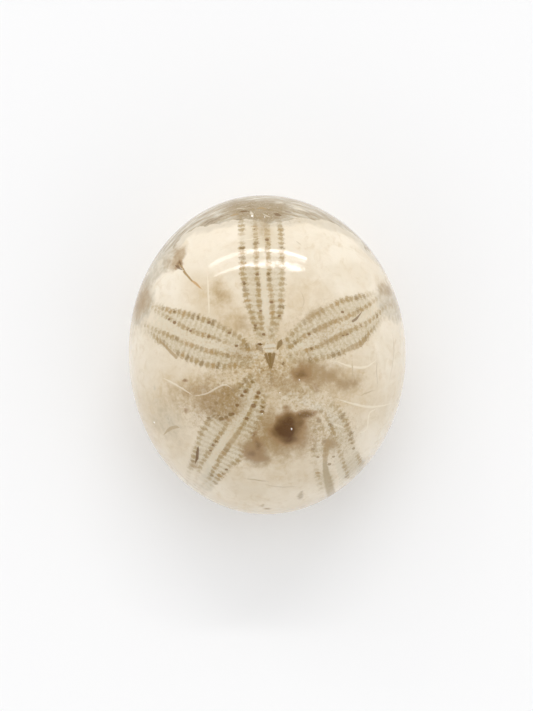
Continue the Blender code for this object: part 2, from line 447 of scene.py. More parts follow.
STREAKS = (
    ("amber", 1.00, ((179.5, 264, 1.6), (186, 274, 1), (192, 280.5, 0.9))),
    ("rust", 0.95, ((192, 280.5, 0.9), (196.5, 284.3, 1.1), (203, 290, 0))),
    ("umber", 0.80, ((174.5, 265, 0), (178.5, 267.5, 1.3), (183, 270.5, 0))),
    ("umber", 0.80, ((179, 259.5, 0), (180, 264, 1), (182.5, 270, 0))),
    ("amber", 0.55, ((163, 435.5, 0), (169.7, 429, 1.6), (176.5, 426.8, 1.4), (180, 428, 0))),
    ("umber", 0.95, ((198.2, 446, 0), (197.9, 450, 1.3), (196.9, 457.7, 1.5), (195, 464, 0))),
    ("amber", 0.30, ((248, 379, 0), (239, 386, 2.2), (229, 398, 1.6), (220, 412, 2.6), (207, 424, 0))),
    ("wedge", 0.45, ((206, 421, 0), (210, 419.5, 1.8), (216, 414, 0))),
    ("amber", 0.50, ((244, 425, 0), (237, 434, 2.2), (228, 447, 2.4), (221, 459, 0))),
    ("amber", 0.30, ((300, 322, 0), (309, 316, 2.4), (318, 310.5, 2), (326, 309, 0))),
    ("amber", 0.45, ((311, 333, 0), (320, 328.5, 2.6), (333, 322, 2), (345, 317.5, 0))),
    ("amber", 0.50, ((321, 345, 0), (333, 338.5, 2), (344, 334, 2.8), (350, 331, 0))),
    ("amber", 0.45, ((340, 353, 0), (351, 348, 2.4), (362, 343, 2.2), (370, 333, 0))),
    ("umber", 0.95, ((239, 212.3, 0), (243, 211.3, 1.5), (251, 211.3, 0))),
    ("umber", 0.80, ((273.5, 213.5, 0), (277, 214.5, 2.3), (282, 216, 0))),
    ("amber", 0.85, ((256, 209, 0), (261, 208, 2), (268, 209.5, 0))),
    ("amber", 0.75, ((229, 216.5, 0), (234, 215, 1.7), (240, 213.5, 0))),
    ("umber", 0.50, ((284, 211, 0), (288, 212, 1.3), (294, 213.5, 0))),
    ("umber", 0.45, ((246, 206.5, 0), (250, 206, 1.1), (256, 206, 0))),
    ("umber", 0.75, ((353, 321, 1.4), (356.5, 318.5, 1.3), (362.5, 311, 0))),
    ("amber", 0.75, ((160.5, 341.5, 1), (168, 349, 1.4), (176, 357.5, 1.6))),
    ("amber", 0.55, ((308, 383, 0), (311, 387, 1.3), (315.5, 392, 0))),
    ("amber", 0.60, ((331, 436, 2), (327.5, 445, 3.4), (325.6, 454, 3), (325, 462, 2.4))),
    (
        "grey",
        0.85,
        (
            (325, 460, 2.2), (325.6, 470, 2.9), (328, 481, 3.9),
            (331, 493, 4.4), (332.8, 501, 3.6), (333.6, 507, 0),
        ),
    ),
    ("wedge", 0.90, ((265.6, 354.6, 1.6), (268, 361, 1.3), (270.8, 370.5, 0))),
    ("wedge", 1.00, ((269.8, 355, 2.4), (270.3, 362, 1.7), (271, 371.5, 0))),
    ("wedge", 0.90, ((274, 354.2, 1.6), (272.6, 361, 1.3), (271.2, 370.5, 0))),
    ("wedge", 0.30, ((270.6, 368, 0), (271.2, 376, 1.4), (271.4, 388, 0))),
    ("plate", 0.75, ((265, 346.8, 2.2), (273.5, 346.2, 2.2))),
    ("plate", 0.75, ((266.6, 350.4, 1.7), (272, 350.2, 1.7))),
    ("shade", 0.45, ((264.5, 348.8, 0.5), (274, 348.3, 0.5))),
    ("umber", 1.00, ((256.6, 343.8, 0), (260, 344.3, 1.3), (263, 344.6, 0))),
    ("wedge", 0.55, ((255.5, 343.5, 0), (259, 346.5, 3.2), (263.5, 353, 0))),
    ("wedge", 0.85, ((281.5, 339, 0), (280.2, 343.5, 2.4), (276.8, 350.5, 0))),
    ("wedge", 0.80, ((281.6, 363.5, 0), (283.2, 363.6, 1.9), (284.8, 363.9, 0))),
)

# Small dark dots: a colour's name, then each dot's place, its radius in pixels and its opacity.
DARK_DOTS = (
    (
        "core",
        (
            (266.9, 239.7, 1.5, 0.85), (257.1, 274.3, 1.3, 0.85), (243.6, 282.1, 1.3, 0.60),
            (244.3, 287.1, 1.1, 0.45), (260.7, 311.1, 1, 0.85), (271.4, 302.1, 1.3, 0.85),
            (255.4, 325.4, 1.2, 0.85), (279.3, 316, 1.2, 0.85), (263.6, 334.3, 1.2, 0.85),
            (309.3, 334, 1.3, 0.85), (342.5, 312, 1.3, 0.85), (347, 333.5, 1.6, 0.85),
            (343, 335, 1.3, 0.85), (169, 319.3, 1.2, 0.85), (174.5, 322.5, 1.4, 0.85),
            (209, 322.5, 1.3, 0.85), (229.5, 333, 1.2, 0.85), (190.5, 331, 1.1, 0.85),
            (208.7, 336.5, 1.2, 0.85), (236.5, 346, 1.2, 0.85), (245, 391.9, 1.4, 0.85),
            (242.1, 395.7, 1.3, 0.85), (237.1, 405.4, 1.4, 0.85), (232.6, 413.9, 1.5, 0.85),
            (258.6, 392.9, 1.5, 0.85), (257.1, 396.7, 1.2, 0.85), (253.6, 405.7, 1.9, 0.85),
            (246.7, 418.3, 1.4, 0.85), (262.1, 411.7, 1.5, 0.85), (226.4, 469.6, 1.2, 0.85),
            (212.9, 445, 1.1, 0.85), (210.5, 450.5, 1.1, 0.85), (283.2, 363.6, 1.6, 0.85),
        ),
    ),
    (
        "wedge",
        (
            (242.4, 383.6, 1.4, 0.75), (239.3, 387.4, 1.3, 0.65), (233.4, 390.2, 1.3, 0.50),
            (228.8, 395.4, 1.3, 0.50), (222.4, 393.1, 1.2, 0.35), (216.2, 403.3, 1.5, 0.50),
            (210.4, 407.6, 1.3, 0.50), (223.2, 404.6, 1.2, 0.45), (204.6, 399.7, 1.2, 0.35),
            (213.8, 410.9, 1.4, 0.55), (208.9, 418.4, 1.5, 0.75), (221.3, 418.8, 1.9, 0.95),
            (226.2, 417.3, 1.5, 0.85), (230.6, 414.6, 1.8, 0.95), (218, 415.2, 1.3, 0.80),
        ),
    ),
    (
        "dusk",
        (
            (319, 421, 1.9, 0.85), (312.9, 449.3, 1.5, 0.85), (317.9, 457.1, 1.2, 0.85),
            (324.3, 441.4, 1.5, 0.85), (333.6, 456.7, 1.2, 0.85), (329.3, 464.3, 1.6, 0.85),
            (352.1, 442.9, 1.2, 0.85), (347.1, 424.7, 1.2, 0.85), (353.6, 448.6, 1.3, 0.85),
            (342.1, 417.9, 1.3, 0.85),
        ),
    ),
)

# Painted glints: tiny white specks that stand in for the glints of small pits in the polish. The place and
# the radius in pixels.
PAINTED_GLINTS = (
    ((291.6, 429), 1.4),
    ((278.3, 431.5), 0.9),
    ((299.5, 380), 1.2),
    ((262.2, 413.8), 1.3),
    ((154.2, 422.5), 1.6),
    ((279.8, 392.4), 1.2),
    ((252, 216), 1.8),
    ((264.5, 217), 1.2),
)

# ------------------------------------------------------------------------------- marks on the stone

DROP_PAST_OUTLINE = 3.0  # how far below the girth a mark goes on, for its way past the outline
CURVE_STEPS = 12


def seen_point(tree, place):
    """The point of the stone that is seen at a place in the camera's frame, and the way it faces."""
    across = (place[0] - FRAME_CENTRE[0]) * PIXEL
    up = (FRAME_CENTRE[1] - place[1]) * PIXEL
    aim = Vector((across, up, -CAMERA_RISE))
    point, facing, _face, _distance = tree.ray_cast(CAMERA_PLACE, aim)
    if point is None:
        edge, _facing, _face, beyond = tree.find_nearest(CAMERA_PLACE + aim)
        below = Vector((0.0, 0.0, DROP_PAST_OUTLINE * beyond))
        point, facing, _face, _distance = tree.find_nearest(edge - below)
    return point, facing


def curve_through(points):
    """Close points on a smooth curve through these, and how far along it they are."""
    ends = [2.0 * points[0] - points[1], *points, 2.0 * points[-1] - points[-2]]
    fine = []
    for before, start, end, after in zip(ends, ends[1:], ends[2:], ends[3:]):
        for step in range(CURVE_STEPS):
            share = step / CURVE_STEPS
            fine.append(
                0.5
                * (
                    2.0 * start
                    + (end - before) * share
                    + (2.0 * before - 5.0 * start + 4.0 * end - after) * share**2
                    + (3.0 * start - before - 3.0 * end + after) * share**3
                )
            )
    fine.append(points[-1])
    lengths = np.cumsum([0.0] + [(b - a).length for a, b in zip(fine, fine[1:])])
    return np.array(fine), lengths


def curve_points(fine, lengths, count):
    """This many evenly spaced points of a curve."""
    stations = np.linspace(0.0, lengths[-1], count)
    return [Vector([np.interp(station, lengths, fine[:, axis]) for axis in range(3)]) for station in stations]


def even_points(points, count):
    """This many points, evenly spaced along a smooth curve through the given ones."""
    return curve_points(*curve_through(points), count)


def matched_points(outer, inner, count):
    """This many points on each of two curves, in step with each other and evenly spaced between them."""
    outer_fine = curve_through(outer)[0]
    inner_fine = curve_through(inner)[0]
    steps = np.linalg.norm(np.diff((outer_fine + inner_fine) / 2.0, axis=0), axis=1)
    lengths = np.concatenate([[0.0], np.cumsum(steps)])
    return curve_points(outer_fine, lengths, count), curve_points(inner_fine, lengths, count)


def path_length(points):
    """The length of a smooth curve through these points."""
    return curve_through(points)[1][-1]


MIDDLE = Vector((0.0, 0.0, GIRTH_HEIGHT))
BELOW_STEPS = (0.12, -0.25, -0.55, -0.78, -0.92)  # how high the directions point that a row passes through
BELOW_SPREAD = 0.05  # how far a row stands aside from its heading at the girth, as a share of the reach
BELOW_NARROWING = 0.6  # how much narrower a zone gets on its way to the mouth


def row_below(last_point, side):
    """Where a row goes on from its last seen point: down over the girth and in towards the mouth."""
    start = last_point - MIDDLE
    heading = Vector((start.x / WIDTH, start.y / LENGTH, 0.0)).normalized()
    sideways = Vector((-heading.y, heading.x, 0.0))
    directions = []
    for height in BELOW_STEPS:
        if height < start.normalized().z:
            aside = sideways * side * BELOW_SPREAD * (1.0 + height)
            flat = (heading + aside).normalized() * (1.0 - height**2) ** 0.5
            directions.append((flat.x, flat.y, height))
    return [Vector(point) for point in stone_points(np.array(directions))]


class PorePair:
    """An inner and an outer pore: their places, their paints and how the petal is kept there.

    What is kept is the pores' strength, how clear the stripes are, and how smooth the ground is.
    """

    def __init__(self, inner, outer, facing, paints, cores, kept):
        self.inner = np.array(inner)
        self.outer = np.array(outer)
        across = (outer - inner).normalized()
        self.across = np.array(across)
        self.along = np.array(facing.cross(across).normalized())
        self.width = (outer - inner).length
        self.paints = paints
        self.cores = cores
        self.kept = kept


PORE_PAINTS = (
    # how often, colour, least and most opacity
    (0.70, (0.36, 0.250, 0.105), 0.80, 1.00),
    (0.16, (0.37, 0.235, 0.085), 0.80, 1.00),
    (0.14, (0.27, 0.180, 0.070), 0.80, 1.00),
)
CORE_CHANCE = 0.06  # how often a pore has a dark core
CORE_DARKNESS = (0.5, 1.0)
WORN_RIM = (0.7, 1.25)  # where a worn place begins to ease off and where it ends, in half-widths


def pore_paint(chance, strength):
    """One pore's colour and opacity."""
    pick = chance.random()
    for share, colour, least, most in PORE_PAINTS:
        if pick < share:
            break
        pick -= share
    return (*colour, strength * chance.uniform(least, most))


def pore_core(chance, strength):
    """How dark the middle of one pore is."""
    return strength * chance.uniform(*CORE_DARKNESS) if chance.random() < CORE_CHANCE else 0.0


def share_left(place, worn):
    """How much is left, at a place in the frame, of what has worn away in these places."""
    left = 1.0
    for (centre_x, centre_y), (half_x, half_y), lost in worn:
        away = np.hypot((place[0] - centre_x) / half_x, (place[1] - centre_y) / half_y)
        left *= 1.0 - lost * (1.0 - float(smooth_step(*WORN_RIM, away)))
    return left


SEED = 11
JITTER = 0.075 * MM
FADE_SCALE = 420.0  # how quickly the rows grow fainter and stronger along their way, in waves per metre
EVEN_SHARE = 0.90  # a pore's usual strength, which the waves raise and lower
FADING_PAIRS = 5.0  # over how many pairs a petal's end fades


def zone_pairs(tree, zone, side, stripes, petal_end, chance):
    """The pore pairs of one zone of a petal, from the apex to the mouth."""
    outer_row, inner_row = ([seen_point(tree, place)[0] for place in row] for row in zone)
    count = round(0.5 * (path_length(outer_row) + path_length(inner_row)) / PORE_PITCH)
    below_outer = [outer_row[-1], *row_below(outer_row[-1], side)]
    below_inner = [inner_row[-1], *row_below(inner_row[-1], side)]
    below_count = round(path_length(below_inner) / BELOW_PITCH)
    outer_points, inner_points = matched_points(outer_row, inner_row, count)
    outer_points += even_points(below_outer, below_count)[1:]
    inner_points += even_points(below_inner, below_count)[1:]
    pairs = []
    for number, (outer, inner) in enumerate(zip(outer_points, inner_points)):
        share = max(0.0, (number + 1 - count) / below_count)
        outer = inner + (outer - inner) * (1.0 - BELOW_NARROWING * share)
        inner, outer = (
            tree.find_nearest(point + Vector([chance.uniform(-JITTER, JITTER) for _axis in range(3)]))[0]
            for point in (inner, outer)
        )
        facing = tree.find_nearest(inner)[1]
        place = frame_places(np.array([inner + outer]) / 2.0)[0]
        strength = share_left(place, WORN) if inner.z > GIRTH_HEIGHT else 1.0
        faded = float(smooth_step(petal_end * count, petal_end * count + FADING_PAIRS, number))
        strength *= 1.0 + (FADED - 1.0) * faded
        waves = [noise.noise(point * FADE_SCALE) for point in (inner, outer)]
        shown = [strength * min(1.0, EVEN_SHARE + wave) for wave in waves]
        paints = [pore_paint(chance, share) for share in shown]
        cores = [pore_core(chance, share) for share in shown]
        smooth = 1.0 - share_left(place, SMOOTH_GROUND)
        pairs.append(PorePair(inner, outer, facing, paints, cores, (strength, stripes, smooth)))
    return pairs


def all_pairs(tree):
    """Every pore pair of the five petals."""
    chance = random.Random(SEED)
    pairs = []
    for petal, zone_stripes, petal_end in zip(PETALS, PETAL_STRIPES, PETAL_ENDS):
        for side, zone, stripes in zip((1.0, -1.0), petal, zone_stripes):
            pairs += zone_pairs(tree, zone, side, stripes, petal_end, chance)
    return pairs


STROKE_COLOURS = {
    "pale": (0.80, 0.72, 0.58),
    "shade": (0.40, 0.30, 0.18),
    "amber": (0.36, 0.24, 0.10),
    "umber": (0.16, 0.08, 0.018),
    "core": (0.21, 0.11, 0.035),
    "dusk": (0.33, 0.235, 0.12),
    "wedge": (0.235, 0.145, 0.048),
    "rust": (0.50, 0.31, 0.13),
    "plate": (0.66, 0.60, 0.48),
    "grey": (0.40, 0.31, 0.175),
}
STROKE_STEPS = 4  # straight pieces between two given places
DOT_SLENDERNESS = 3.0  # a dot's radius over half the length of its stroke


def stroke_segments(tree, strokes):
    """The straight pieces of some strokes: two ends, two half-widths, the way it faces and its paint."""
    segments = []
    for colour, opacity, places in strokes:
        curve = even_points([Vector(place) for place in places], STROKE_STEPS * (len(places) - 1) + 1)
        seen = [seen_point(tree, place) for place in curve]
        for (start, facing), (end, _facing), start_place, end_place in zip(seen, seen[1:], curve, curve[1:]):
            widths = [max(0.0, place.z) * PIXEL for place in (start_place, end_place)]
            segments.append((start, end, widths, facing, (*STROKE_COLOURS[colour], opacity)))
    return segments


def dot_segments(tree):
    """The dark dots, as very short strokes."""
    segments = []
    for colour, dots in DARK_DOTS:
        for right, down, radius, opacity in dots:
            (start, facing), (end, _facing) = (
                seen_point(tree, (right + side * radius / DOT_SLENDERNESS, down)) for side in (-1.0, 1.0)
            )
            widths = [radius * PIXEL, radius * PIXEL]
            segments.append((start, end, widths, facing, (*STROKE_COLOURS[colour], opacity)))
    return segments


# ----------------------------------------------------------------------------------- marks on the mesh


def dots_of(rows, others):
    """The dot product of each row with its partner."""
    return np.einsum("ij,ij->i", rows, others)


LEAST_SQUARE = 1e-12  # in place of a shorter piece's squared length, so that nothing is divided by nought


def nearest_segment(points, starts, ends):
    """For each point, the number of the nearest straight piece."""
    best = np.full(len(points), np.inf)
    number = np.zeros(len(points), dtype=int)
    for index, (start, end) in enumerate(zip(starts, ends)):
        run = end - start
        offset = points - start
        share = np.clip(offset @ run / max(run @ run, LEAST_SQUARE), 0.0, 1.0)
        away = offset - share[:, None] * run
        distance = dots_of(away, away)
        closer = distance < best
        best[closer] = distance[closer]
        number[closer] = index
    return number


def store(mesh, name, kind, domain, values):
    """Keep values on the mesh under a name."""
    attribute = mesh.attributes.new(name, kind, domain)
    field = {"FLOAT": "value", "FLOAT_VECTOR": "vector", "FLOAT_COLOR": "color"}[kind]
    attribute.data.foreach_set(field, np.ascontiguousarray(values, dtype=np.float32).ravel())


def store_pairs(mesh, corners, middles, pairs):
    """Keep, on each face's corners, where they are in the nearest pore pair's frame, in millimetres."""
    inner, outer, along, across, width, kept = (
        np.array([getattr(pair, name) for pair in pairs])
        for name in ("inner", "outer", "along", "across", "width", "kept")
    )
    number = np.repeat(nearest_segment(middles, inner, outer), 3)
    offset = corners - inner[number]
    place = [
        dots_of(offset, along[number]) / MM,
        dots_of(offset, across[number]) / MM,
        width[number] / MM,
    ]
    store(mesh, "pair", "FLOAT_VECTOR", "CORNER", np.stack(place, axis=1))
    store(mesh, "pair_kept", "FLOAT_VECTOR", "CORNER", kept[number])
    for index, name in enumerate(("inner", "outer")):
        core = np.array([pair.cores[index] for pair in pairs])
        paint = np.array([pair.paints[index] for pair in pairs])
        store(mesh, name + "_core", "FLOAT", "CORNER", core[number])
        store(mesh, name + "_paint", "FLOAT_COLOR", "CORNER", paint[number])


def store_strokes(mesh, corners, middles, name, segments):
    """Keep, on each face's corners, the offset from the nearest stroke, its half-width and its paint."""
    starts, ends, widths, facing, paint = (np.array(values) for values in zip(*segments))
    run = ends - starts
    length = np.linalg.norm(run, axis=1)
    along = run / length[:, None]
    across = np.cross(facing, along)
    across /= np.linalg.norm(across, axis=1)[:, None]
    number = np.repeat(nearest_segment(middles, starts, ends), 3)
    offset = corners - starts[number]
    gone = dots_of(offset, along[number])
    width = widths[number, 0] + (widths[number, 1] - widths[number, 0]) * gone / length[number]
    aside = dots_of(offset, across[number])
    past = np.maximum(np.maximum(-gone, gone - length[number]), 0.0)
    store(mesh, name, "FLOAT_VECTOR", "CORNER", np.stack([aside / MM, width / MM, past / MM], axis=1))
    store(mesh, name + "_paint", "FLOAT_COLOR", "CORNER", paint[number])


def patch_field(places, patches):
    """The strength of some soft patches at places in the frame, 0 to 1."""
    field = np.zeros(len(places))
    for (centre_x, centre_y), (half_x, half_y), turn, soft, strength in patches:
        right = places[:, 0] - centre_x
        up = centre_y - places[:, 1]
        long_way = (right * cos(radians(turn)) + up * sin(radians(turn))) / half_x
        short_way = (up * cos(radians(turn)) - right * sin(radians(turn))) / half_y
        reach = np.hypot(long_way, short_way)
        field = np.maximum(field, strength * np.clip(0.5 + (1.0 - reach) / (2.0 * soft), 0.0, 1.0))
    return field


WARPS = ((330.0, 5.0), (1000.0, 2.2))  # waves per metre, and how many pixels they move the fields' edges
WARP_OFFSETS = (Vector((9.3, -1.5, -8.0)), Vector((-4.7, 6.2, 3.1)))  # the waves across and down


def warped_places(points):
    """Where points fall in the camera's frame, moved about by noise so that soft fields get natural edges."""
    places = frame_places(points)
    for scale, reach in WARPS:
        for axis, offset in enumerate(WARP_OFFSETS):
            waves = [noise.noise(Vector(point) * scale + offset) for point in points]
            places[:, axis] += reach * np.array(waves)
    return places


FIELDS = (
    ("warmth", BROAD_WARMTH),
    ("tan", TAN_CLOUDS),
    ("umber", UMBER_STAINS),
    ("glass", GREY_GLASS),
    ("milk", MILKY_PATCHES),
    ("pale", PALE_ISLANDS),
    ("mottle", MOTTLED),
    ("dirt", CRESCENT_DIRT),
)
# The fields end below the girth, between these heights, and ragged waves move that edge up and down.
FIELDS_END = (GIRTH_HEIGHT - 5.0 * MM, GIRTH_HEIGHT - 1.0 * MM)
RAGGED_REACH = 2.5 * MM
RAGGED_SCALE = 300.0  # waves per metre
RAGGED_WAVES = (0.8, 2.0, 3)  # how much fainter finer waves are, how much finer each is, and how many
CRESCENT_SIDES = (0.0, 0.3)  # where the crescent fades in, as shares of the half length towards the front
CRESCENT_DEPTH = 30.0  # pixels


def store_fields(mesh, points):
    """Keep the soft fields on the mesh's points."""
    places = warped_places(points)
    ragged = np.array([noise.fractal(Vector(point) * RAGGED_SCALE, *RAGGED_WAVES) for point in points])
    upper = smooth_step(*FIELDS_END, points[:, 2] + RAGGED_REACH * ragged)
    for name, patches in FIELDS:
        store(mesh, name, "FLOAT", "POINT", patch_field(places, patches) * upper)
    store(mesh, "crinkle", "FLOAT", "POINT", patch_field(frame_places(points), CRINKLED) * upper)
    edge = np.array(CRESCENT_EDGE)
    rise = np.interp(places[:, 0], edge[:, 0], edge[:, 1]) - places[:, 1]
    outside = 1.0 - smooth_step(*CRESCENT_SIDES, points[:, 1] / (LENGTH / 2.0)) * upper
    crescent = np.clip(rise, -CRESCENT_DEPTH, CRESCENT_DEPTH) - 2.0 * CRESCENT_DEPTH * outside
    store(mesh, "crescent", "FLOAT", "POINT", crescent)
    turn = np.arctan2(points[:, 0], points[:, 1])
    reach = np.hypot(points[:, 0] / WIDTH, points[:, 1] / LENGTH)
    ring = np.stack([turn * LENGTH / 2.0, reach * LENGTH, points[:, 2]], axis=1) / MM
    store(mesh, "ring", "FLOAT_VECTOR", "POINT", ring)


PAINTED_GLINT_RIM = (0.3, 1.2)  # where a painted glint begins to fade and where it ends, in radii


def painted_glint_field(tree, points):
    """1 in the middle of each painted glint, falling to 0 at its rim."""
    field = np.zeros(len(points))
    for place, radius in PAINTED_GLINTS:
        centre = np.array(seen_point(tree, place)[0])
        away = np.linalg.norm(points - centre, axis=1) / (radius * PIXEL)
        field = np.maximum(field, 1.0 - smooth_step(*PAINTED_GLINT_RIM, away))
    return field


SWELL = 0.010 * MM
SWELL_SCALE = 260.0  # waves per metre
SWELL_FROM = 2.0 * MM  # the height from which the swells are full, so that the resting face stays flat


def add_swells(mesh):
    """Move the surface in and out a very little, as hand polishing leaves it."""
    for vert, normal in zip(mesh.vertices, [vert.normal.copy() for vert in mesh.vertices]):
        lift = min(1.0, vert.co.z / SWELL_FROM)
        vert.co += normal * (SWELL * lift * noise.noise(vert.co * SWELL_SCALE))


def link_object(name, data):
    """A new object in the scene."""
    thing = bpy.data.objects.new(name, data)
    bpy.context.scene.collection.objects.link(thing)
    return thing


def make_stone():
    """The fossil's piece, with its marks and its material."""
    shape = make_stone_shape()
    tree = BVHTree.FromBMesh(shape)
    points = vertex_array(shape.verts)
    mesh = bpy.data.meshes.new("polished_fossil")
    shape.to_mesh(mesh)
    shape.free()
    corner_points = np.zeros(len(mesh.loops), dtype=int)
    mesh.loops.foreach_get("vertex_index", corner_points)
    corners = points[corner_points]
    middles = corners.reshape(-1, 3, 3).mean(axis=1)
    store_pairs(mesh, corners, middles, all_pairs(tree))
    store_strokes(mesh, corners, middles, "crack", stroke_segments(tree, CRACKS))
    store_strokes(mesh, corners, middles, "streak", stroke_segments(tree, STREAKS) + dot_segments(tree))
    store_fields(mesh, points)
    store(mesh, "painted_glint", "FLOAT", "POINT", painted_glint_field(tree, points))
    add_swells(mesh)
    mesh.shade_smooth()
    mesh.materials.append(make_calcite())
    return link_object("polished_fossil", mesh)


# ------------------------------------------------------------------------------------------ materials


class Network:
    """A tree of nodes being built: each method adds a node and returns the socket that comes out of it."""

    def __init__(self, tree):
        self.tree = tree
        self.nodes = tree.nodes

    def plug(self, value, socket):
        """Link a socket or set a number."""
        if isinstance(value, bpy.types.NodeSocket):
            self.tree.links.new(value, socket)
        else:
            socket.default_value = value

    def add(self, kind, inputs=(), **settings):
        """A node of this kind, with its settings and what goes into it by position."""
        node = self.nodes.new(kind)
        for name, value in settings.items():
            setattr(node, name, value)
        for position, value in enumerate(inputs):
            if value is not None:
                self.plug(value, node.inputs[position])
        return node

    def math(self, operation, *values):
        return self.add("ShaderNodeMath", values, operation=operation).outputs[0]

    def times(self, *values):
        product = values[0]
        for value in values[1:]:
            product = self.math("MULTIPLY", product, value)
        return product

    def plus(self, first, second):
        return self.math("ADD", first, second)

    def centred(self, value):
        """A noise of 0 to 1, moved so that its middle is 0."""
        return self.math("SUBTRACT", value, 0.5)

    def step(self, value, low, high, bottom=0.0, top=1.0, curve="SMOOTHSTEP"):
        """An even curve from bottom, where the value is low, to top, where it is high."""
        if low > high:
            low, high, bottom, top = high, low, top, bottom
        inputs = (value, low, high, bottom, top)
        return self.add("ShaderNodeMapRange", inputs, interpolation_type=curve).outputs["Result"]

    def attribute(self, name, output="Fac"):
        return self.add("ShaderNodeAttribute", attribute_name=name).outputs[output]

    def parts(self, vector):
        """The three numbers of a vector."""
        return self.add("ShaderNodeSeparateXYZ", (vector,)).outputs

    def noise(self, place, scale, detail, roughness, warp=0.0):
        node = self.add("ShaderNodeTexNoise", (place,))
        recipe = {"Scale": scale, "Detail": detail, "Roughness": roughness, "Distortion": warp}
        for name, value in recipe.items():
            self.plug(value, node.inputs[name])
        return node.outputs[0]

    def stretched(self, place, scale):
        node = self.add("ShaderNodeMapping", (place,))
        node.inputs["Scale"].default_value = scale
        return node.outputs[0]

    def mix(self, base, paint, share):
        """Base colour with this share of paint over it."""
        node = self.add("ShaderNodeMix", data_type="RGBA")
        for index, value in ((0, share), (6, base), (7, paint)):
            colour = (*value, 1.0) if isinstance(value, tuple) else value
            self.plug(colour, node.inputs[index])
        return node.outputs[2]

    def bump(self, height, distance):
        node = self.add("ShaderNodeBump")
        self.plug(distance, node.inputs["Distance"])
        self.plug(height, node.inputs["Height"])
        return node.outputs[0]


class Finish(Network):
    """A new material, whose shader takes what the network gives."""

    def __init__(self, name):
        self.material = bpy.data.materials.new(name)
        self.material.use_nodes = True
        super().__init__(self.material.node_tree)
        self.shader = self.nodes["Principled BSDF"]

    def set(self, **values):
        """Give the shader's sockets their values, with a socket's spaces as underscores."""
        for name, value in values.items():
            self.plug(value, self.shader.inputs[name.replace("_", " ")])


CREAM = (0.715, 0.625, 0.485)
CREAM_LIGHT = (0.78, 0.70, 0.57)
CREAM_PALE = (0.84, 0.76, 0.63)
CREAM_WARM = (0.525, 0.385, 0.20)
TAN = (0.330, 0.213, 0.088)
STAIN_EDGE = (0.33, 0.20, 0.088)
STAIN_MIDDLE = (0.185, 0.10, 0.032)
STAIN_DARK = (0.090, 0.034, 0.004)
GLASS_GREY = (0.465, 0.405, 0.305)
CRESCENT_GREY = (0.45, 0.40, 0.315)
CRESCENT_BROWN = (0.355, 0.285, 0.18)
CRESCENT_DARK = (0.19, 0.125, 0.055)
CRESCENT_DIRTY = (0.235, 0.16, 0.062)
MILK = (0.70, 0.63, 0.505)
PORE_BAND = (0.40, 0.287, 0.138)
CORE = (0.15, 0.085, 0.02)
PORE_GROUND = (0.465, 0.375, 0.235)
STRIPE = (0.625, 0.55, 0.41)
GOLD = (0.34, 0.225, 0.085)
# the white of the painted glints
PAINTED_GLINT_WHITE = (0.95, 0.93, 0.88)

# The noises in the stone: waves per millimetre, detail, roughness and distortion.
CLOUDS = (0.16, 4.0, 0.55, 0.6)
PATCHES = (0.55, 4.0, 0.6, 0.8)
RAGGED = (0.9, 5.0, 0.65, 0.3)
GRAIN = (3.2, 3.0, 0.6)
FLECKS = (1.7, 5.0, 0.8, 0.1)
CRINKLES = (2.4, 2.0, 0.5, 0.8)
WOBBLE = (1.3, 3.0, 0.6)
FRAY = (3.8, 3.0, 0.65)
WISPS = (1.1, 5.0, 0.65, 0.5)

# Umber stains, darker towards their middle: a colour, where it starts and is full, and its share there.
STAINS = ((STAIN_EDGE, 0.16, 0.45, 0.75), (STAIN_MIDDLE, 0.38, 0.72, 0.85), (STAIN_DARK, 0.66, 1.0, 0.85))

STREAK_SOFTNESS = 0.35
CRACK_SOFTNESS = 0.5
ROUGHNESS = (0.05, 0.08)
CALCITE_IOR = 1.56
GLOW_SHARE = 0.15  # how much of the light enters the stone and comes out again
GLOW_COLOUR = (1.0, 0.75, 0.5)
GLOW_DEPTH = 1.0 * MM
RIPPLE_DEPTH = 0.010 * MM
RIPPLES = {"patches": 0.8, "grain": 0.06, "crinkle": 1.7}


